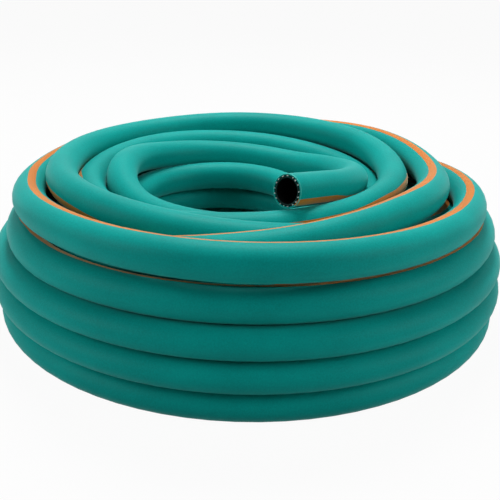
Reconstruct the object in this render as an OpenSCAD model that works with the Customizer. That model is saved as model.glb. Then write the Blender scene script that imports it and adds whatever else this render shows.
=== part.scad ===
// Coiled garden hose: one reinforced hose, wound into a tall ring, with its free end laid over the top.
// Millimetres, +Z up. The origin is on the ground at the middle of the ring.

/* [Hose] */
// Clear bore of the hose
bore = 13; // [12.5:0.1:13.5]
// Thickness of the smooth inner tube
liner_t = 0.9; // [0.7:0.05:1.1]
// Thickness of the knitted yarn layer
braid_t = 0.5; // [0.4:0.05:0.6]
// Thickness of the outer cover
cover_t = 0.85; // [0.7:0.05:1]

/* [Stripe] */
// Angle that the coloured stripe takes of the way round
stripe_arc = 31; // [20:1:45]
// Depth of the stripe in the cover
stripe_t = 0.4; // [0.2:0.05:0.6]

/* [Ends] */
// Length of hose shown with its true layers at the free end
end_len = 26; // [20:1:30]
// Length of hose shown with its true layers at the inner end
inner_len = 14; // [10:1:16]
// Height of the middle of the free end's cut face
end_z = 88; // [88:0.5:92]
// Way that the free end points into the coil, from above
end_heading = 49; // [48:0.5:50]
// Fall of the free end towards the coil
end_dip = 8.5; // [8:0.25:9]

/* [Coil] */
// Radius of the widest loop, to the middle of the hose
wall_r = 141; // [141:0.5:144]
// Height of the widest loop
wide_z = 25; // [20:1:30]
// How far the fifth loop up lies inside the widest one
draw_in = 14.5; // [13:0.5:15]
// Rise from one loop of the wall to the next
level_step = 15.9; // [15.8:0.05:16]
// Rise in one turn of the two hidden columns behind the wall
column_step = 16; // [16:0.1:16.5]
// Radius of the first hidden column of loops
second_r = 116.5; // [116:0.5:118]
// Radius of the second hidden column of loops
third_r = 93; // [92:0.5:95]
// Radius of the innermost column at its foot
hole_r = 61; // [60:0.5:62]
// Rise from one loop of the innermost column to the next
hole_step = 18.2; // [18:0.05:18.4]
// How far the innermost column lies off the middle
hole_shift = 16; // [14:0.5:17]

/* [Hidden] */
$fn = 96;

// Outside of each layer
liner_d = bore + 2 * liner_t;
braid_d = liner_d + 2 * braid_t;
od = braid_d + 2 * cover_t;

// The pile was laid with hose of this outside diameter, and a stouter hose makes a larger pile.
laid_od = 17.5;
grow = od / laid_od;

// Loops, rings and sides of the wound hose
rings = 24;
turn = 360;
sides = 6;
step = turn / rings;
// A tenth of the hose is cut flat where the lowest loops stand.
foot_cut = 0.1;
floor_z = (0.5 - foot_cut) * laid_od;

// Free end: the middle of its cut face, then a straight run, then the laid loops
end_x = 19;
end_y = -75;
end_at = [end_x, end_y, end_z];
end_way = [cos(end_heading) * cos(end_dip), sin(end_heading) * cos(end_dip), -sin(end_dip)];
joint = end_at + end_len / grow * end_way;
straight = joint + laid_od * end_way;

// The loose turns on top: angle round the ring, radius and height of the middle of the hose.
// The list runs on from the free end: in at the back, under the end, and outwards to the wall.
loose = [
    [10, 61, 73.5], [35, 60.5, 70], [60, 61, 68], [90, 63.5, 70], [135, 70.5, 74],
    [180, 74.5, 78.5], [225, 75.5, 68.5], [270, 66, 63], [315, 67, 61.5],
    [360, 74.5, 62.5], [405, 81, 68], [450, 85.5, 73.5], [495, 89.5, 75.5],
    [540, 92.5, 72.5], [585, 94, 70.5], [630, 82.5, 70], [675, 81, 72],
    [720, 86, 76], [765, 94.5, 82.5], [810, 100.5, 84.5], [855, 106.5, 82],
    [900, 108, 81.5], [945, 109, 80], [990, 102.5, 72.5], [1035, 102.5, 66],
    [1080, 116.5, 55.5], [1125, 104, 53], [1170, 99, 55.5], [1215, 100, 56],
    [1260, 102, 58], [1305, 118, 61.5], [1350, 122, 74.5], [1395, 111.5, 81],
    [1440, 107, 78.5], [1485, 113, 81], [1530, 118, 77.5], [1575, 123.5, 76],
    [1620, 124.5, 72.5], [1665, 131.5, 75.5], [1710, 141, 77], [1755, 132.5, 73.5],
    [1800, 125.5, 70.5], [1845, 120.5, 65], [1890, 116.5, 60.5], [1935, 121, 59.5],
    [1980, 128.5, 56]
];

// The wall: level loops round the front, each dropping one level across the back
wall_top = 1620;
wall_from = 2025;
drop_from = 95;
drop_to = 205;
top_level = 5;
top_z = floor_z + (top_level - 1) * level_step;

// The hidden columns: in along the ground, up, in, down, in and up again
in_from = 3260;
up_from = 3350;
column_turns = 2.13;
in_again = up_from + column_turns * turn;
down_from = in_again + turn / 2;
foot_again = down_from + column_turns * turn;
// Share of the innermost column's shift that the second hidden column takes
second_shift = 0.3;
// The innermost column's loops are level, and climb in the half turn from here.
hole_climb = 5280;
// Its loops draw in above this height, by this much at its third loop.
hole_lean_from = 21;
hole_draw = 4.8;
third_z = floor_z + 2 * hole_step;
// Its last turn: angle, radius and height of the middle of the hose, about the column's own middle
hole_from = 6060;
inner_loose = [
    [6105, 51, 54.5], [6150, 49, 59], [6195, 48.5, 60.5], [6240, 50, 60], [6285, 52.5, 60], [6330, 56, 59.5]
];
last_angle = 6285;
// Angle between one chosen point and the next
knot_gap = 45;

function ease(u) = let (t = max(0, min(1, u))) t * t * (3 - 2 * t);
function mix(a, b, u) = a + (b - a) * u;
function polar(a, r, z, x = 0) = [x + r * cos(a), r * sin(a), z];

// Levels that the wall has left below it at an angle
function wall_level(a) =
    let (past = a - wall_top + turn / 2 - drop_from, n = floor(past / turn))
    max(0, top_level - n - ease((past - n * turn) / (drop_to - drop_from)));
function wall_z(a) = floor_z + level_step * wall_level(a);
function wall_radius(z) = wall_r - draw_in * pow((z - wide_z) / (top_z - wide_z), 2);

// The hidden columns, as radius, height and how far their middle lies to the left
function hole_z(a) =
    let (past = a - hole_climb, n = floor(past / turn))
    floor_z + hole_step * max(0, n + ease((past - n * turn) / (turn / 2)));
function column_z(a) =
    a < up_from ? floor_z :
    a < in_again ? floor_z + column_step * (a - up_from) / turn :
    a < down_from ? floor_z + column_step * column_turns :
    a < foot_again ? floor_z + column_step * (foot_again - a) / turn :
    hole_z(a);
function hole_radius(z) =
    hole_r - hole_draw * pow(max(0, z - hole_lean_from) / (third_z - hole_lean_from), 2);
function column(a) =
    let (z = column_z(a),
         u1 = ease((a - in_from) / (up_from - in_from)),
         u2 = ease((a - in_again) / (turn / 2)),
         u3 = ease((a - foot_again + turn / 2) / (turn / 2)),
         r1 = mix(wall_radius(wall_z(a)), second_r, u1),
         r2 = mix(r1, third_r, u2))
    [mix(r2, hole_radius(z), u3), z, mix(second_shift * u2, 1, u3) * hole_shift];

// A smooth run through chosen points, by their own slopes
function angle_of(p) = atan2(p.y, p.x);
function slope(knots, i, k) =
    (knots[i + 1][k] - knots[i - 1][k]) / (knots[i + 1][0] - knots[i - 1][0]);
function run(knots, i, k, a) =
    let (h = knots[i + 1][0] - knots[i][0], t = (a - knots[i][0]) / h, w = ease(t))
    mix(knots[i][k], knots[i + 1][k], w)
    + h * t * (1 - t) * ((1 - t) * slope(knots, i, k) - t * slope(knots, i + 1, k));
function knot_before(knots, a, i = 1) =
    knots[i + 1][0] > a || i + 3 > len(knots) - 1 ? i : knot_before(knots, a, i + 1);
function along(knots, a, x = 0) =
    let (i = knot_before(knots, a)) polar(a, run(knots, i, 1, a), run(knots, i, 2, a), x);
outer_knots = concat([for (p = [joint, straight]) [angle_of(p), norm([p.x, p.y]), p.z]],
                     loose,
                     [for (a = [wall_from, wall_from + knot_gap]) [a, wall_radius(wall_z(a)), wall_z(a)]]);
inner_knots = concat([for (i = [2:-1:0]) let (a = hole_from - i * knot_gap) [a, column(a)[0], column(a)[1]]],
                     inner_loose);

// Middle of the hose at an angle, counted on from the free end
function middle(a) =
    a < wall_from ? along(outer_knots, a) :
    a < in_from ? polar(a, wall_radius(wall_z(a)), wall_z(a)) :
    a < hole_from ? let (c = column(a)) polar(a, c[0], c[1], -c[2]) :
    along(inner_knots, a, -hole_shift);

// Middles of the rings: square to the free end, round the loops, and straight again at the inner end
ring_room = step / 3;
way_step = 2;
first_ring = step * ceil((angle_of(straight) + ring_room) / step);
last_way = unit(middle(last_angle) - middle(last_angle - way_step));
inner_straight = middle(last_angle) + laid_od * last_way;
path = grow * concat([joint, straight],
                     [for (a = [first_ring:step:last_angle]) middle(a)],
                     [inner_straight]);
last = len(path) - 1;
turns = (last_angle - angle_of(joint)) / turn;

function unit(v) = v / norm(v);
function way(i) =
    i == 0 ? unit(path[1] - path[0]) :
    i == last ? unit(path[i] - path[i - 1]) :
    unit(unit(path[i] - path[i - 1]) + unit(path[i + 1] - path[i]));
function side_of(w) = unit(cross([0, 0, 1], w));
function ring(c, w) =
    let (s = side_of(w), u = cross(w, s))
    [for (k = [0:sides - 1]) on_ground(c + od / 2 * (cos(k * turn / sides) * s + sin(k * turn / sides) * u))];
function on_ground(p) = [p.x, p.y, max(0, p.z)];
skin = [for (i = [0:last]) ring(path[i], way(i))];

// Least gap between loops, from corners and mid-sides of each ring to those of the rings beside it
function marks(i) = concat(skin[i], [for (k = [0:sides - 1]) (skin[i][k] + skin[i][(k + 1) % sides]) / 2]);
function pair_gap(i, j) = min([for (p = marks(i), q = marks(j)) norm(p - q)]);
near_share = 1.3;
one_loop = rings - 2;
near_rings = [for (i = [0:last], j = [i + one_loop:last])
              if (norm(path[i] - path[j]) < near_share * od) [i, j]];
module tell_gap() echo(loops = turns, least_gap = min([for (n = near_rings) pair_gap(n[0], n[1])]));

// One closed skin of triangles
module tube_skin(skin) {
    n = len(skin);
    points = [for (r = skin, p = r) p];
    ring_faces = [for (i = [0:n - 2], k = [0:sides - 1])
        let (a = i * sides + k, b = i * sides + (k + 1) % sides)
        each [[a, b, b + sides], [a, b + sides, a + sides]]];
    first_cap = [for (k = [1:sides - 2]) [0, k + 1, k]];
    last_cap = [for (k = [1:sides - 2]) [(n - 1) * sides, (n - 1) * sides + k, (n - 1) * sides + k + 1]];
    polyhedron(points, concat(ring_faces, first_cap, last_cap));
}

// Both cut ends, with +Z running from the cut face into the hose
inner_end = path[last] + inner_len * last_way;
module at_free_end() {
    translate(grow * end_at) facing(end_way) children();
}
module at_inner_end() {
    translate(inner_end) facing(-last_way) children();
}
module facing(w) {
    rotate([0, atan2(norm([w.x, w.y]), w.z), atan2(w.y, w.x)]) children();
}

module layer(outer, inner, length) {
    rotate_extrude() translate([inner / 2, 0]) square([(outer - inner) / 2, length]);
}

// Stripe of the cover's own kind, let into its outside. A cutter runs past the piece that it cuts.
past_cut = 1;
module stripe_bar(at, length, past = 0) {
    rotate([0, 0, at - stripe_arc / 2])
        rotate_extrude(angle = stripe_arc)
            translate([od / 2 - stripe_t, -past]) square([stripe_t + past, length + 2 * past]);
}
free_stripe_at = 320;
inner_stripe_at = 55;

module striped_cover(at, length) {
    difference() {
        layer(od, braid_d, length);
        stripe_bar(at, length, past_cut);
    }
}

module coiled_hose() {
    tell_gap();
    color("teal") tube_skin(skin);
}
module end_cover() {
    color("darkcyan") {
        at_free_end() striped_cover(free_stripe_at, end_len);
        at_inner_end() striped_cover(inner_stripe_at, inner_len);
    }
}
module end_stripe() {
    color("darkorange") {
        at_free_end() stripe_bar(free_stripe_at, end_len);
        at_inner_end() stripe_bar(inner_stripe_at, inner_len);
    }
}
module end_braid() {
    color("white") {
        at_free_end() layer(braid_d, liner_d, end_len);
        at_inner_end() layer(braid_d, liner_d, inner_len);
    }
}
module end_liner() {
    color("black") {
        at_free_end() layer(liner_d, bore, end_len);
        at_inner_end() layer(liner_d, bore, inner_len);
    }
}

coiled_hose();
end_cover();
end_stripe();
end_braid();
end_liner();
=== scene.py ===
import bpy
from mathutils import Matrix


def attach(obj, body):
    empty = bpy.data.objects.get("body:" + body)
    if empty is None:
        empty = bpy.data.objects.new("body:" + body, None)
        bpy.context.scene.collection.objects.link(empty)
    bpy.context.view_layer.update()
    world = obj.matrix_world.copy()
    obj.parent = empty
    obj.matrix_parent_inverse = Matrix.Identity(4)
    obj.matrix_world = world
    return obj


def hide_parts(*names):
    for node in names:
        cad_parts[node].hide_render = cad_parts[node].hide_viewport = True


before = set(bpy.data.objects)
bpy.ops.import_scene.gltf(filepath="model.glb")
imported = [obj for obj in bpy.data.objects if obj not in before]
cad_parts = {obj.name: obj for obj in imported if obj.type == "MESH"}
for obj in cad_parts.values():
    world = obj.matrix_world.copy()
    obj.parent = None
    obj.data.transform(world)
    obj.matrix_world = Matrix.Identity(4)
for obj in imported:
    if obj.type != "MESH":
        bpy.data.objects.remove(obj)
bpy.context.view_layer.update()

# %% [markdown]
# A coiled garden hose: one long tube of soft plastic, about eleven metres of it, wound by hand into a
# ring with a hole in the middle. One end is out of sight inside the ring, and the other lies over the top
# and points at the viewer, cut square. The tube is a smooth dark liner, a knitted white yarn and a teal
# cover, with one orange stripe let into the cover.
# The finished pieces are in metres, in the same frame as the solids: the origin is on the ground in the
# middle of the ring, +Z is up and +Y is away from the viewer.

# %% Tools and shared numbers
import math
import random

import bmesh
import bpy
from mathutils import Matrix, Vector

MM = 0.001
TURN = 360.0
HOSE_D = 17.5 * MM
BORE_D = 13.0 * MM
LINER_D = 14.8 * MM
YARN_D = 15.8 * MM
END_LENGTH = 26 * MM
INNER_END_LENGTH = 14 * MM

# %% [markdown]
# The camera stands a little above the coil and looks down at it by about 22 degrees, so that the hole
# and both its rims show. A camera could be turned with three angles, but a slight tilt of the picture is
# easier to keep right when the camera's own axes are built as vectors: right, up and back.

# %% Camera
PICTURE_PX = 500
FOCAL_PX = 694.8
SENSOR_MM = 36.0
CAMERA_REACH = 24.92 * HOSE_D
LOOK_DOWN = math.radians(21.87)
PICTURE_TILT = math.radians(1.18)
AIM = Vector((1.4 * MM, 0.0, 26.1 * MM))

camera_data = bpy.data.cameras.new("camera")
camera_data.sensor_width = SENSOR_MM
camera_data.lens = FOCAL_PX / PICTURE_PX * SENSOR_MM
camera = bpy.data.objects.new("camera", camera_data)
bpy.context.scene.collection.objects.link(camera)
level_right = Vector((1, 0, 0))
level_back = Vector((0, -math.cos(LOOK_DOWN), math.sin(LOOK_DOWN)))
level_up = level_back.cross(level_right)
right = level_right * math.cos(PICTURE_TILT) + level_up * math.sin(PICTURE_TILT)
up = level_up * math.cos(PICTURE_TILT) - level_right * math.sin(PICTURE_TILT)
axes = Matrix((right, up, level_back)).transposed()
camera.matrix_world = Matrix.Translation(AIM + level_back * CAMERA_REACH) @ axes.to_4x4()
bpy.context.scene.camera = camera
print("lens in mm:", round(camera_data.lens, 2))

# %% [markdown]
# The route is what makes a coil look like a real one. A perfect spiral looks like a spring, and random
# waves look like noodles. Here the loose turns on top are listed one by one, as angle, radius and height,
# and a smooth curve runs through them. The wall below and the hidden columns behind it follow formulas.
# Each loop of the wall lies level round the front and drops one level across the back, where the winder's
# hand came round, and the hidden columns climb and fall steadily. The numbers of the route are in
# millimetres, as in the solids.

# %% The free end and the loose turns on top
END_AT = Vector((19, -75, 88))
END_HEADING = math.radians(49)
END_DIP = math.radians(8.5)
END_WAY = Vector((math.cos(END_HEADING) * math.cos(END_DIP),
                  math.sin(END_HEADING) * math.cos(END_DIP),
                  -math.sin(END_DIP)))
HOSE = HOSE_D / MM
JOINT = END_AT + END_WAY * (END_LENGTH / MM)
STRAIGHT = JOINT + END_WAY * HOSE
LOOSE = [
    (10, 61, 73.5), (35, 60.5, 70), (60, 61, 68), (90, 63.5, 70), (135, 70.5, 74),
    (180, 74.5, 78.5), (225, 75.5, 68.5), (270, 66, 63), (315, 67, 61.5),
    (360, 74.5, 62.5), (405, 81, 68), (450, 85.5, 73.5), (495, 89.5, 75.5),
    (540, 92.5, 72.5), (585, 94, 70.5), (630, 82.5, 70), (675, 81, 72),
    (720, 86, 76), (765, 94.5, 82.5), (810, 100.5, 84.5), (855, 106.5, 82),
    (900, 108, 81.5), (945, 109, 80), (990, 102.5, 72.5), (1035, 102.5, 66),
    (1080, 116.5, 55.5), (1125, 104, 53), (1170, 99, 55.5), (1215, 100, 56),
    (1260, 102, 58), (1305, 118, 61.5), (1350, 122, 74.5), (1395, 111.5, 81),
    (1440, 107, 78.5), (1485, 113, 81), (1530, 118, 77.5), (1575, 123.5, 76),
    (1620, 124.5, 72.5), (1665, 131.5, 75.5), (1710, 141, 77), (1755, 132.5, 73.5),
    (1800, 125.5, 70.5), (1845, 120.5, 65), (1890, 116.5, 60.5), (1935, 121, 59.5),
    (1980, 128.5, 56),
]
print("loose turns:", round((LOOSE[-1][0] - LOOSE[0][0]) / TURN, 1))

# %% The wall and the hidden columns
FLOOR_Z = 7.0
LEVEL_STEP, TOP_LEVEL = 15.9, 5
WALL_TOP, WALL_FROM = 1620, 2025
DROP_FROM, DROP_TO = 95, 205
WALL_R, WIDE_Z, DRAW_IN = 141, 25, 14.5
TOP_Z = FLOOR_Z + (TOP_LEVEL - 1) * LEVEL_STEP
IN_FROM, UP_FROM = 3260, 3350
COLUMN_STEP, COLUMN_TURNS = 16, 2.13
SECOND_R, THIRD_R, SECOND_SHIFT = 116.5, 93, 0.3
IN_AGAIN = UP_FROM + COLUMN_TURNS * TURN
DOWN_FROM = IN_AGAIN + TURN / 2
FOOT_AGAIN = DOWN_FROM + COLUMN_TURNS * TURN
HOLE_R, HOLE_STEP, HOLE_SHIFT, HOLE_CLIMB = 61, 18.2, 16, 5280
HOLE_DRAW, HOLE_LEAN_FROM = 4.8, 21
THIRD_Z = FLOOR_Z + 2 * HOLE_STEP
HOLE_FROM, LAST_ANGLE, KNOT_GAP = 6060, 6285, 45
INNER_LOOSE = [(6105, 51, 54.5), (6150, 49, 59), (6195, 48.5, 60.5), (6240, 50, 60), (6285, 52.5, 60),
               (6330, 56, 59.5)]


def ease(share):
    t = max(0.0, min(1.0, share))
    return t * t * (3 - 2 * t)


def mix(a, b, share):
    return a + (b - a) * share


def wall_z(angle):
    past = angle - WALL_TOP + TURN / 2 - DROP_FROM
    whole = math.floor(past / TURN)
    level = TOP_LEVEL - whole - ease((past - whole * TURN) / (DROP_TO - DROP_FROM))
    return FLOOR_Z + LEVEL_STEP * max(0.0, level)


def wall_radius(z):
    return WALL_R - DRAW_IN * ((z - WIDE_Z) / (TOP_Z - WIDE_Z)) ** 2


def column_z(angle):
    if angle < UP_FROM:
        return FLOOR_Z
    if angle < IN_AGAIN:
        return FLOOR_Z + COLUMN_STEP * (angle - UP_FROM) / TURN
    if angle < DOWN_FROM:
        return FLOOR_Z + COLUMN_STEP * COLUMN_TURNS
    if angle < FOOT_AGAIN:
        return FLOOR_Z + COLUMN_STEP * (FOOT_AGAIN - angle) / TURN
    past = angle - HOLE_CLIMB
    whole = math.floor(past / TURN)
    return FLOOR_Z + HOLE_STEP * max(0.0, whole + ease((past - whole * TURN) / (TURN / 2)))


def column(angle):
    """Radius, height and how far the column's middle lies to the left."""
    z = column_z(angle)
    second = ease((angle - IN_FROM) / (UP_FROM - IN_FROM))
    third = ease((angle - IN_AGAIN) / (TURN / 2))
    hole = ease((angle - FOOT_AGAIN + TURN / 2) / (TURN / 2))
    radius = mix(mix(wall_radius(wall_z(angle)), SECOND_R, second), THIRD_R, third)
    hole_radius = HOLE_R - HOLE_DRAW * (max(0.0, z - HOLE_LEAN_FROM) / (THIRD_Z - HOLE_LEAN_FROM)) ** 2
    return mix(radius, hole_radius, hole), z, mix(SECOND_SHIFT * third, 1, hole) * HOLE_SHIFT


print("hidden columns start at turn", round(UP_FROM / TURN, 1), "and", round(DOWN_FROM / TURN, 1))

# %% [markdown]
# Blender's own curves could run through the chosen points, but then their handles decide how far the
# hose swings out between two of them. A short formula of our own does what the solids do: at each point
# the hose heads from the point before to the point after, and between two points it eases from one to
# the other.

# %% One smooth route
def polar(angle, radius, z, x=0.0):
    turned = math.radians(angle)
    return Vector((x + radius * math.cos(turned), radius * math.sin(turned), z))


def along(knots, angle, x=0.0):
    """A point of the smooth run through knots of angle, radius and height."""
    i = 1
    while knots[i + 1][0] <= angle and i + 3 <= len(knots) - 1:
        i += 1
    width = knots[i + 1][0] - knots[i][0]
    t = (angle - knots[i][0]) / width

    def slope(j, k):
        return (knots[j + 1][k] - knots[j - 1][k]) / (knots[j + 1][0] - knots[j - 1][0])

    def value(k):
        bend = (1 - t) * slope(i, k) - t * slope(i + 1, k)
        return mix(knots[i][k], knots[i + 1][k], ease(t)) + width * t * (1 - t) * bend

    return polar(angle, value(1), value(2), x)


def as_knot(point):
    return (math.degrees(math.atan2(point.y, point.x)), math.hypot(point.x, point.y), point.z)


OUTER_KNOTS = [as_knot(JOINT), as_knot(STRAIGHT)] + LOOSE + [
    (a, wall_radius(wall_z(a)), wall_z(a)) for a in (WALL_FROM, WALL_FROM + KNOT_GAP)]
INNER_KNOTS = [(a,) + column(a)[:2] for a in range(HOLE_FROM - 2 * KNOT_GAP, HOLE_FROM + 1, KNOT_GAP)]
INNER_KNOTS += INNER_LOOSE
print("points of the upper and the inner lay:", len(OUTER_KNOTS), "and", len(INNER_KNOTS))


def middle(angle):
    """Middle of the hose at an angle counted on from the free end, in millimetres."""
    if angle < WALL_FROM:
        return along(OUTER_KNOTS, angle)
    if angle < IN_FROM:
        return polar(angle, wall_radius(wall_z(angle)), wall_z(angle))
    if angle < HOLE_FROM:
        radius, z, shift = column(angle)
        return polar(angle, radius, z, -shift)
    return along(INNER_KNOTS, angle, -HOLE_SHIFT)


# %% Middles of the rings
RING_STEP = 4.5
WAY_STEP = 2.0
END_RINGS = 4
last_way = (middle(LAST_ANGLE) - middle(LAST_ANGLE - WAY_STEP)).normalized()
run_length = HOSE + INNER_END_LENGTH / MM
straight_angle = as_knot(STRAIGHT)[0]

stations = []
for n in range(END_RINGS):
    stations.append((as_knot(END_AT)[0], END_AT.lerp(STRAIGHT, n / END_RINGS)))
ring_count = round((LAST_ANGLE - straight_angle) / RING_STEP)
for n in range(ring_count + 1):
    angle = mix(straight_angle, LAST_ANGLE, n / ring_count)
    stations.append((angle, middle(angle)))
for n in range(1, END_RINGS + 1):
    stations.append((LAST_ANGLE, middle(LAST_ANGLE) + last_way * (run_length * n / END_RINGS)))
angles = [angle for angle, point in stations]
centres = [point * MM for angle, point in stations]

# %% [markdown]
# Each ring needs to know which way is in and which is up. The hose comes off a drum without much twist,
# so the simplest frame holds: one axis points level into the coil, and the other is square to it, near
# enough up. The stripe could be a strip laid on the hose, but the real one is let into the cover and flush
# with it, so it is a few columns of the cover's own faces. It wanders round the hose, as it does on any
# hose that was coiled by hand: it starts on the lower outside at the free end, goes up and down the
# outside of the loose turns, and then lies near the top of the outer ones. On the lower loops of the wall
# it is turned in, out of sight.

# %% Ring frames and the stripe's place
Z_AXIS = Vector((0, 0, 1))


def ring_frame(i):
    """The way along the hose, the way into the coil and the way up, at one ring."""
    if i == 0:
        way = END_WAY.copy()
    elif i == len(centres) - 1:
        way = last_way.copy()
    else:
        way = (centres[i] - centres[i - 1]).normalized() + (centres[i + 1] - centres[i]).normalized()
        way.normalize()
    inward = Z_AXIS.cross(way).normalized()
    return way, inward, way.cross(inward)


# Angle along the route, and angle of the stripe round the hose: 0 into the coil, 90 up, 180 outwards
STRIPE_PLACES = [
    (-76, 211), (-57, 217), (-42, 221), (-20, 219), (0, 216), (90, 210), (180, 205), (360, 195),
    (500, 168), (545, 147), (556, 130), (575, 138), (600, 156), (640, 160), (665, 157), (685, 150),
    (700, 157), (720, 170), (760, 178), (810, 178), (880, 190), (936, 195), (944, 198), (949, 203),
    (957, 214), (975, 222), (990, 215), (1015, 170), (1053, 107), (1064, 97), (1100, 98), (1200, 104),
    (1300, 86), (1335, 75), (1365, 70), (1388, 70), (1396, 75), (1405, 80), (1430, 80), (1467, 83),
    (1500, 86), (1590, 92), (1612, 93), (1622, 89), (1640, 76), (1660, 76), (1680, 74), (1700, 71),
    (1730, 72), (1752, 76), (1765, 80), (1790, 87), (1830, 90), (1980, 86), (2001, 90), (2012, 74),
    (2022, 67), (2042, 68), (2051, 71), (2071, 73), (2079, 77), (2101, 79), (2116, 79), (2125, 82),
    (2136, 87), (2160, 92), (2200, 90), (2340, 60), (2420, 50), (3150, 50), (4500, 130), (5400, 210),
    (6330, 215),
]


def stripe_place(angle):
    for (a, p), (b, q) in zip(STRIPE_PLACES, STRIPE_PLACES[1:]):
        if angle <= b:
            return mix(p, q, ease((angle - a) / (b - a)))
    return STRIPE_PLACES[-1][1]


STRIPE_ARC = 28.5
STRIPE_SIDES = 4
COVER_SIDES = 38


def side_angles(angle):
    """Angles round the hose of a ring's corners, starting at the stripe's first edge."""
    start = stripe_place(angle) - STRIPE_ARC / 2
    stripe = [start + STRIPE_ARC * n / STRIPE_SIDES for n in range(STRIPE_SIDES)]
    rest = [start + STRIPE_ARC + (TURN - STRIPE_ARC) * n / COVER_SIDES for n in range(COVER_SIDES)]
    return stripe + rest


print("stripe width in mm:", round(math.radians(STRIPE_ARC) * HOSE / 2, 1))

# %% [markdown]
# The hose is soft, so the lower loops are pressed a little oval by those above, and the lowest are flat
# where they stand. A curve with a bevel would give a perfectly round tube, so the rings are made one by
# one: a height and a width for each, and a corner that would pass through the ground is laid on it.

# %% The hose's rings
PRESSED = 0.9
PRESSED_BELOW, ROUND_ABOVE = 2.4 * HOSE_D, 3.4 * HOSE_D


def pressed(z):
    share = max(0.0, min(1.0, (z - PRESSED_BELOW) / (ROUND_ABOVE - PRESSED_BELOW)))
    height = mix(PRESSED, 1.0, share)
    return height, math.sqrt(2 - height)


def ring_points(i, radius, turned):
    way, inward, upward = ring_frame(i)
    height, width = pressed(centres[i].z)
    points = []
    for a in turned:
        side = math.cos(math.radians(a)) * width
        rise = math.sin(math.radians(a)) * height
        point = centres[i] + (inward * side + upward * rise) * radius
        point.z = max(0.0, point.z)
        points.append(point)
    return points


def new_piece(name, mesh):
    piece = bpy.data.objects.new(name, mesh)
    bpy.context.scene.collection.objects.link(piece)
    return piece


def joined_rings(mesh, rings, slots):
    """Quads between each ring and the next; slots gives each column of quads its material."""
    rows = [[mesh.verts.new(p) for p in ring] for ring in rings]
    count = len(rings[0])
    for here, there in zip(rows, rows[1:]):
        for k in range(count):
            n = (k + 1) % count
            face = mesh.faces.new((here[k], here[n], there[n], there[k]))
            face.smooth = True
            face.material_index = slots[k]
    return rows


print("a loop under the others is", round(PRESSED * HOSE, 1), "mm high")

# %% [markdown]
# The cover is cut square. The edges of the cut are not quite sharp, and the outer one shows as a thin
# pale line where it catches the light. A bevel modifier could round them, but a few rings placed by their
# radius and depth do so as well, and then the faces that get the painted highlight, a paler teal for that
# line, are known: those between the three outermost rings.

# %% The cover, with its stripe
EDGE_ROUND = 0.25 * MM
EDGE_START = 2 * EDGE_ROUND
EDGE_MIDDLE = 0.3 * EDGE_ROUND
COVER_IN = YARN_D / 2
COVER_OUT = HOSE_D / 2
LIP_DEPTH = 8 * MM
COVER_SLOT, STRIPE_SLOT, RIM_HIGHLIGHT_SLOT = 0, 1, 2
# Rings of a cut end between which the painted highlight of the outer edge lies, counted from inside the
# hose
RIM_FIRST, RIM_LAST = 3, 5
cover_slots = [STRIPE_SLOT] * STRIPE_SIDES + [COVER_SLOT] * COVER_SIDES


def cut_rings(i, away):
    """Rings of a cut end: the rounded outer edge, the flat cut, the inner edge and the way inside."""
    turned = side_angles(angles[i])
    way = ring_frame(i)[0] * away
    profile = [(COVER_OUT, EDGE_START), (COVER_OUT - EDGE_MIDDLE, EDGE_MIDDLE),
               (COVER_OUT - EDGE_ROUND, 0.0), (COVER_IN + EDGE_ROUND, 0.0), (COVER_IN, EDGE_ROUND),
               (COVER_IN, LIP_DEPTH)]
    return [[p - way * depth for p in ring_points(i, radius, turned)] for radius, depth in profile]


last_ring = len(centres) - 1
body_rings = [ring_points(i, COVER_OUT, side_angles(angles[i])) for i in range(1, last_ring)]
hose_rings = list(reversed(cut_rings(0, -1))) + body_rings + cut_rings(last_ring, 1)
mesh = bmesh.new()
rows = joined_rings(mesh, hose_rings, cover_slots)
# The faces of the rounded outer edge get the finish with the painted highlight
for first in (RIM_FIRST, len(rows) - 1 - RIM_LAST):
    highlight_corners = set(sum(rows[first:first + RIM_LAST - RIM_FIRST + 1], []))
    for face in mesh.faces:
        if highlight_corners.issuperset(face.verts):
            face.material_index = RIM_HIGHLIGHT_SLOT
bmesh.ops.recalc_face_normals(mesh, faces=mesh.faces)
hose_mesh = bpy.data.meshes.new("hose_cover")
mesh.to_mesh(hose_mesh)
mesh.free()
hose = new_piece("hose_cover", hose_mesh)
print("cover faces:", len(hose_mesh.polygons))

# %% [markdown]
# At the cut the layers show as rings. The liner is the smooth dark tube that holds the water. It could
# run the whole length like the cover, but only the first few centimetres of its bore can be seen, so it
# stops there. Its cut face has the liner's own dark colour, and the bore has painted shade, a colour
# darkened nearly to black, so the cut faces get a finish of their own.

# %% Liner
LINER_DEPTH = 60 * MM
LINER_SIDES = 40
LINER_BACK = 0.15 * MM
even_sides = [TURN * n / LINER_SIDES for n in range(LINER_SIDES)]


def rings_inward(i, away, radius, depth):
    """Rings of one radius from a cut end into the hose, as far as depth."""
    step = 1 if away < 0 else -1
    rings, gone = [ring_points(i, radius, even_sides)], 0.0
    while gone < depth:
        gone += (centres[i + step] - centres[i]).length
        i += step
        rings.append(ring_points(i, radius, even_sides))
    return rings


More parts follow.
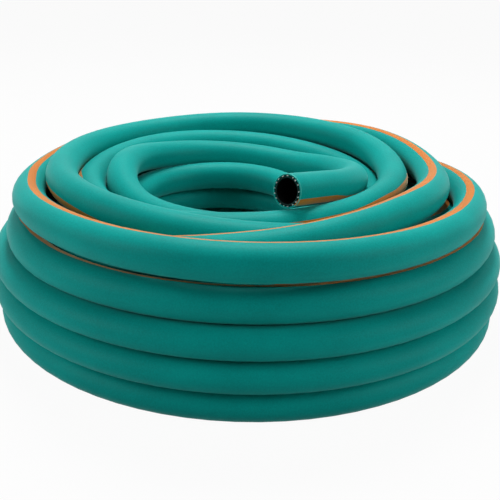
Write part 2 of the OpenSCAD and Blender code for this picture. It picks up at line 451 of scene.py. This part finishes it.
# The bore's finish is painted shade, nearly black; the cut face keeps the liner's own colour
BORE_SLOT, CUT_SLOT = 0, 1
mesh = bmesh.new()
for i, away in ((0, -1), (last_ring, 1)):
    outside = rings_inward(i, away, LINER_D / 2, LINER_DEPTH)
    inside = rings_inward(i, away, BORE_D / 2, LINER_DEPTH)
    back = ring_frame(i)[0] * away * LINER_BACK
    outside[0] = [p - back for p in outside[0]]
    inside[0] = [p - back for p in inside[0]]
    rows = joined_rings(mesh, list(reversed(outside)) + inside, [BORE_SLOT] * LINER_SIDES)
    cut_corners = set(rows[len(outside) - 1] + rows[len(outside)])
    for face in mesh.faces:
        if cut_corners.issuperset(face.verts):
            face.material_index = CUT_SLOT
bmesh.ops.recalc_face_normals(mesh, faces=mesh.faces)
liner_mesh = bpy.data.meshes.new("hose_liner")
mesh.to_mesh(liner_mesh)
mesh.free()
liner = new_piece("hose_liner", liner_mesh)
print("liner wall in mm:", round((LINER_D - BORE_D) / 2 / MM, 2))

# %% [markdown]
# The yarn is knitted from single strands, whose cut tips show as a ring of white tufts in the dark gap
# between liner and cover. They could be a texture, but at this size each tuft throws its own small
# shadow, so each is a short leaning strand of its own. A dark ring closes the gap behind them.

# %% Yarn
YARN_STRANDS = 17
STRAND_SIDES = 8
STRAND_R = 0.36 * MM
STRAND_OUT = 0.5 * MM
STRAND_IN = 3 * MM
YARN_BACK = 0.35 * MM
YARN_R = (LINER_D + YARN_D) / 4
YARN_SEED = 7
SCATTER = 0.18
LEAN_ROUND = 0.5
LEAN_IN, LEAN_OUT = -0.35, 0.1
THINNEST, THICKEST = 0.85, 1.15
STRAND_SLOT, BED_SLOT = 0, 1
# Reach out of the cut and share of the full girth, along a strand from its root to its tip
STRAND_SHAPE = ((-STRAND_IN, 0.9), (-YARN_BACK, 1.0), (0.0, 1.05),
                (0.7 * STRAND_OUT, 0.8), (STRAND_OUT, 0.3))
random.seed(YARN_SEED)

mesh = bmesh.new()
for i, away in ((0, -1), (last_ring, 1)):
    way, inward, upward = ring_frame(i)
    out = way * away
    outer, inner = [ring_points(i, r, even_sides) for r in (YARN_D / 2, LINER_D / 2)]
    bed = [(outer, LIP_DEPTH), (outer, YARN_BACK), (inner, YARN_BACK), (inner, LIP_DEPTH)]
    bed_rings = [[p - out * depth for p in ring] for ring, depth in bed]
    joined_rings(mesh, bed_rings, [BED_SLOT] * LINER_SIDES)
    for n in range(YARN_STRANDS):
        a = math.radians(TURN * (n + random.uniform(-SCATTER, SCATTER)) / YARN_STRANDS)
        spoke = inward * math.cos(a) + upward * math.sin(a)
        round_way = out.cross(spoke)
        lean = round_way * random.uniform(-LEAN_ROUND, LEAN_ROUND)
        lean += spoke * random.uniform(LEAN_IN, LEAN_OUT)
        foot = centres[i] + spoke * YARN_R
        size = STRAND_R * random.uniform(THINNEST, THICKEST)
        rings = []
        for reach, girth in STRAND_SHAPE:
            centre = foot + out * reach + lean * max(0.0, reach + YARN_BACK)
            rings.append([centre + (spoke * math.cos(t) + round_way * math.sin(t)) * size * girth
                          for t in (math.tau * k / STRAND_SIDES for k in range(STRAND_SIDES))])
        rows = joined_rings(mesh, rings, [STRAND_SLOT] * STRAND_SIDES)
        mesh.faces.new(rows[-1]).smooth = True
        mesh.faces.new(list(reversed(rows[0])))
bmesh.ops.recalc_face_normals(mesh, faces=mesh.faces)
yarn_mesh = bpy.data.meshes.new("hose_yarn")
mesh.to_mesh(yarn_mesh)
mesh.free()
yarn = new_piece("hose_yarn", yarn_mesh)
print("yarn strands at each end:", YARN_STRANDS)

# %% [markdown]
# The three pieces take the place of the five plain nodes of the solid model. The cover, with its stripe,
# stands for the wound run, the end covers and the end stripes, the liner for the end liners, and the yarn
# for the end braids.

# %% The pieces take the place of the plain nodes
for piece in (hose, liner, yarn):
    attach(piece, "root")
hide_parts("coiled_hose", "end_cover", "end_stripe")
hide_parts("end_liner")
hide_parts("end_braid")
print("the hose reaches", round(max(c.x for c in centres) / MM, 1), "mm to the right")

# %% [markdown]
# The cover is soft plastic with a nearly matt skin: its colour is even, its shine is broad, and up close
# it has a very fine pebble. A pattern could be laid on the tube like a label, but noise in three
# dimensions has no seam and fits any shape. A thin sheen gives the pale bloom that such a skin has where
# it turns away from the eye. The stripe is the same plastic in another colour, and the cut edge is the
# cover's plastic painted a paler teal, a painted highlight for the light on its rounded edge, so all
# three come from one recipe.

# %% Soft plastic
CLOUD_SCALE, CLOUD_DETAIL = 28.0, 4.0
PEBBLE_SCALE, PEBBLE_DETAIL = 1300.0, 2.0
EVEN_SHARE = 0.5
MID_TONE, SPECKLE = 0.5, 0.16
DARKER, LIGHTER = 0.86, 1.12
SMOOTHER, ROUGHER = 0.06, 0.08
PEBBLE_STRENGTH, PEBBLE_HEIGHT = 0.16, 0.1 * MM
SKIN_SHINE = 0.05
BLOOM_ROUGH = 0.4


def soft_plastic(name, colour, rough, bloom, bloom_colour):
    material = bpy.data.materials.new(name)
    material.use_nodes = True
    nodes, links = material.node_tree.nodes, material.node_tree.links
    shader = nodes["Principled BSDF"]
    where = nodes.new("ShaderNodeTexCoord")
    cloudy = nodes.new("ShaderNodeTexNoise")
    cloudy.inputs["Scale"].default_value = CLOUD_SCALE
    cloudy.inputs["Detail"].default_value = CLOUD_DETAIL
    pebble = nodes.new("ShaderNodeTexNoise")
    pebble.inputs["Scale"].default_value = PEBBLE_SCALE
    pebble.inputs["Detail"].default_value = PEBBLE_DETAIL
    for texture in (cloudy, pebble):
        links.new(where.outputs["Object"], texture.inputs["Vector"])

    # The colour follows the mean of the two noises
    half_cloud = nodes.new("ShaderNodeMath")
    half_cloud.operation = "MULTIPLY"
    half_cloud.inputs[1].default_value = EVEN_SHARE
    mean = nodes.new("ShaderNodeMath")
    mean.operation = "MULTIPLY_ADD"
    mean.inputs[1].default_value = EVEN_SHARE
    ramp = nodes.new("ShaderNodeValToRGB")
    ramp.color_ramp.elements[0].position = MID_TONE - SPECKLE
    ramp.color_ramp.elements[0].color = tuple(c * DARKER for c in colour) + (1,)
    ramp.color_ramp.elements[1].position = MID_TONE + SPECKLE
    ramp.color_ramp.elements[1].color = tuple(min(1.0, c * LIGHTER) for c in colour) + (1,)
    links.new(cloudy.outputs["Fac"], half_cloud.inputs[0])
    links.new(pebble.outputs["Fac"], mean.inputs[0])
    links.new(half_cloud.outputs[0], mean.inputs[2])
    links.new(mean.outputs[0], ramp.inputs["Fac"])
    links.new(ramp.outputs["Color"], shader.inputs["Base Color"])

    # The shine follows the broad noise, and the bump the fine one
    rough_range = nodes.new("ShaderNodeMapRange")
    rough_range.inputs["To Min"].default_value = rough - SMOOTHER
    rough_range.inputs["To Max"].default_value = rough + ROUGHER
    bump = nodes.new("ShaderNodeBump")
    bump.inputs["Strength"].default_value = PEBBLE_STRENGTH
    bump.inputs["Distance"].default_value = PEBBLE_HEIGHT
    links.new(cloudy.outputs["Fac"], rough_range.inputs["Value"])
    links.new(rough_range.outputs["Result"], shader.inputs["Roughness"])
    links.new(pebble.outputs["Fac"], bump.inputs["Height"])
    links.new(bump.outputs["Normal"], shader.inputs["Normal"])
    shader.inputs["Specular IOR Level"].default_value = SKIN_SHINE
    shader.inputs["Sheen Weight"].default_value = bloom
    shader.inputs["Sheen Roughness"].default_value = BLOOM_ROUGH
    shader.inputs["Sheen Tint"].default_value = bloom_colour + (1,)
    return material


COVER_TEAL, TEAL_BLOOM = (0.001, 0.3, 0.27), (0.55, 1.0, 0.97)
STRIPE_ORANGE, ORANGE_BLOOM = (0.56, 0.15, 0.012), (1.0, 0.86, 0.55)
# The cut edge's teal is paler than the cover's: a painted highlight for the light on the rounded edge
RIM_HIGHLIGHT_TEAL, RIM_BLOOM = (0.06, 0.5, 0.44), (0.6, 1.0, 0.95)
# In the order of the slots of the cover
hose_mesh.materials.append(soft_plastic("cover_teal", COVER_TEAL, 0.5, 0.12, TEAL_BLOOM))
hose_mesh.materials.append(soft_plastic("stripe_orange", STRIPE_ORANGE, 0.5, 0.5, ORANGE_BLOOM))
# The third finish carries the painted highlight of the cut edge
hose_mesh.materials.append(soft_plastic("cut_rim_painted_highlight", RIM_HIGHLIGHT_TEAL, 0.4, 0.3, RIM_BLOOM))
print("finishes of the cover:", [m.name for m in hose_mesh.materials])

# %% [markdown]
# The liner and the yarn show at the cut only, so one plain recipe does for both: a colour between two
# tones, and a bump from the same noise. The bore's colour is painted shade, nearly black, for a dark
# tube out of which hardly any light comes. The liner's cut face is a very dark green, and so is the ring
# behind the white yarn. The fibres of a strand could be drawn one by one, but at this size a fine noise
# does as well.

# %% Liner and yarn finishes
FIBRE_BUMP = 0.4


def plain_noise(name, dark, light, scale, rough, shine, bump_mm):
    material = bpy.data.materials.new(name)
    material.use_nodes = True
    nodes, links = material.node_tree.nodes, material.node_tree.links
    shader = nodes["Principled BSDF"]
    where = nodes.new("ShaderNodeTexCoord")
    noise = nodes.new("ShaderNodeTexNoise")
    noise.inputs["Scale"].default_value = scale
    ramp = nodes.new("ShaderNodeValToRGB")
    ramp.color_ramp.elements[0].color = tuple(dark) + (1,)
    ramp.color_ramp.elements[1].color = tuple(light) + (1,)
    bump = nodes.new("ShaderNodeBump")
    bump.inputs["Strength"].default_value = FIBRE_BUMP
    bump.inputs["Distance"].default_value = bump_mm * MM
    links.new(where.outputs["Object"], noise.inputs["Vector"])
    links.new(noise.outputs["Fac"], ramp.inputs["Fac"])
    links.new(ramp.outputs["Color"], shader.inputs["Base Color"])
    links.new(noise.outputs["Fac"], bump.inputs["Height"])
    links.new(bump.outputs["Normal"], shader.inputs["Normal"])
    shader.inputs["Roughness"].default_value = rough
    shader.inputs["Specular IOR Level"].default_value = shine
    return material


# The bore's colour is painted shade: the liner darkened nearly to black inside the tube
BORE_PAINTED_SHADE = ((0.0004, 0.0006, 0.0006), (0.0015, 0.002, 0.002))
CUT_GREEN = ((0.003, 0.014, 0.013), (0.008, 0.035, 0.032))
YARN_WHITE = ((0.55, 0.56, 0.55), (0.85, 0.85, 0.83))
liner_painted_shade = plain_noise("liner_painted_shade", *BORE_PAINTED_SHADE, scale=700, rough=0.6, shine=0.02, bump_mm=0.05)
liner_cut = plain_noise("liner_cut", *CUT_GREEN, scale=1500, rough=0.7, shine=0.1, bump_mm=0.1)
yarn_white = plain_noise("yarn_white", *YARN_WHITE, scale=2600, rough=0.85, shine=0.3, bump_mm=0.2)
# In the order of the slots: the bore and the cut face of the liner, the strands and the bed of the yarn
for mesh, finishes in ((liner_mesh, (liner_painted_shade, liner_cut)), (yarn_mesh, (yarn_white, liner_cut))):
    for finish in finishes:
        mesh.materials.append(finish)
print("finishes of the yarn:", [m.name for m in yarn_mesh.materials])

# %% [markdown]
# A studio floor is white and seems to have no edge. A white floor under strong lamps would do, but it
# would also throw light back on the hose. So this floor is a mid grey to the light, which gives the
# lowest loops a little light from below, and white to the eye: most of what the camera sees of it glows
# white, and the rest still takes the coil's shadow. The room is made the same way, dim to the hose and
# white to the eye.

# %% Floor
FLOOR_REACH = 6.0
FLOOR_GREY = (0.5, 0.5, 0.5, 1)
FLOOR_ROUGH = 0.9
FLOOR_WHITENED = 0.95
WHITE = (1, 1, 1, 1)
floor_mesh = bpy.data.meshes.new("floor")
mesh = bmesh.new()
bmesh.ops.create_grid(mesh, x_segments=1, y_segments=1, size=FLOOR_REACH)
mesh.to_mesh(floor_mesh)
mesh.free()
floor = new_piece("floor", floor_mesh)


def seen_directly(nodes, links):
    """1 for rays from the camera, in a mirror or through glass."""
    ray = nodes.new("ShaderNodeLightPath")
    first = nodes.new("ShaderNodeMath")
    first.operation = "MAXIMUM"
    second = nodes.new("ShaderNodeMath")
    second.operation = "MAXIMUM"
    links.new(ray.outputs["Is Camera Ray"], first.inputs[0])
    links.new(ray.outputs["Is Glossy Ray"], first.inputs[1])
    links.new(first.outputs[0], second.inputs[0])
    links.new(ray.outputs["Is Transmission Ray"], second.inputs[1])
    return second.outputs[0]


floor_white = bpy.data.materials.new("floor_white")
floor_white.use_nodes = True
nodes, links = floor_white.node_tree.nodes, floor_white.node_tree.links
floor_shader = nodes["Principled BSDF"]
floor_shader.inputs["Base Color"].default_value = FLOOR_GREY
floor_shader.inputs["Roughness"].default_value = FLOOR_ROUGH
glow = nodes.new("ShaderNodeEmission")
glow.inputs["Strength"].default_value = 1.0
blend = nodes.new("ShaderNodeMixShader")
share = nodes.new("ShaderNodeMath")
share.operation = "MULTIPLY"
share.inputs[1].default_value = FLOOR_WHITENED
links.new(seen_directly(nodes, links), share.inputs[0])
links.new(share.outputs[0], blend.inputs["Fac"])
links.new(floor_shader.outputs[0], blend.inputs[1])
links.new(glow.outputs[0], blend.inputs[2])
links.new(blend.outputs[0], nodes["Material Output"].inputs["Surface"])
floor_mesh.materials.append(floor_white)
print("floor side in m:", 2 * FLOOR_REACH)

# %% Room
ROOM_LIGHT = 0.03
world = bpy.data.worlds.new("room")
bpy.context.scene.world = world
world.use_nodes = True
nodes, links = world.node_tree.nodes, world.node_tree.links
room = nodes["Background"]
room.inputs["Color"].default_value = WHITE
room.inputs["Strength"].default_value = ROOM_LIGHT
white = nodes.new("ShaderNodeBackground")
white.inputs["Strength"].default_value = 1.0
white.inputs["Color"].default_value = WHITE
room_or_white = nodes.new("ShaderNodeMixShader")
links.new(seen_directly(nodes, links), room_or_white.inputs["Fac"])
links.new(room.outputs[0], room_or_white.inputs[1])
links.new(white.outputs[0], room_or_white.inputs[2])
links.new(room_or_white.outputs[0], nodes["World Output"].inputs["Surface"])
print("room light:", ROOM_LIGHT)

# %% [markdown]
# The light is that of a plain studio: one lamp above and a little behind, so that the top of each loop
# is bright and its front falls into shade, and two broad ones lower at the sides for the flanks. One
# lamp in front would flatten the loops, and small lamps would give hard shadows, so all are broad disks.

# %% Lamps
LAMP_AIM = Vector((0, 0, 0.04))
ABOVE_AT, ABOVE_SIZE, ABOVE_WATTS = (0.0, 0.5, 1.2), 0.5, 18
SIDE_X, SIDE_Y, SIDE_Z = 1.1, -0.4, 0.6
SIDE_SIZE, SIDE_WATTS = 0.8, 7.5


def broad_lamp(name, at, size, watts):
    data = bpy.data.lights.new(name, "AREA")
    data.shape = "DISK"
    data.size = size
    data.energy = watts
    lamp = bpy.data.objects.new(name, data)
    bpy.context.scene.collection.objects.link(lamp)
    lamp.location = at
    lamp.rotation_euler = (LAMP_AIM - Vector(at)).to_track_quat("-Z", "Y").to_euler()


broad_lamp("lamp_above", ABOVE_AT, ABOVE_SIZE, ABOVE_WATTS)
for side, x in (("left", -SIDE_X), ("right", SIDE_X)):
    broad_lamp("lamp_" + side, (x, SIDE_Y, SIDE_Z), SIDE_SIZE, SIDE_WATTS)
bpy.context.scene.view_settings.view_transform = "Standard"
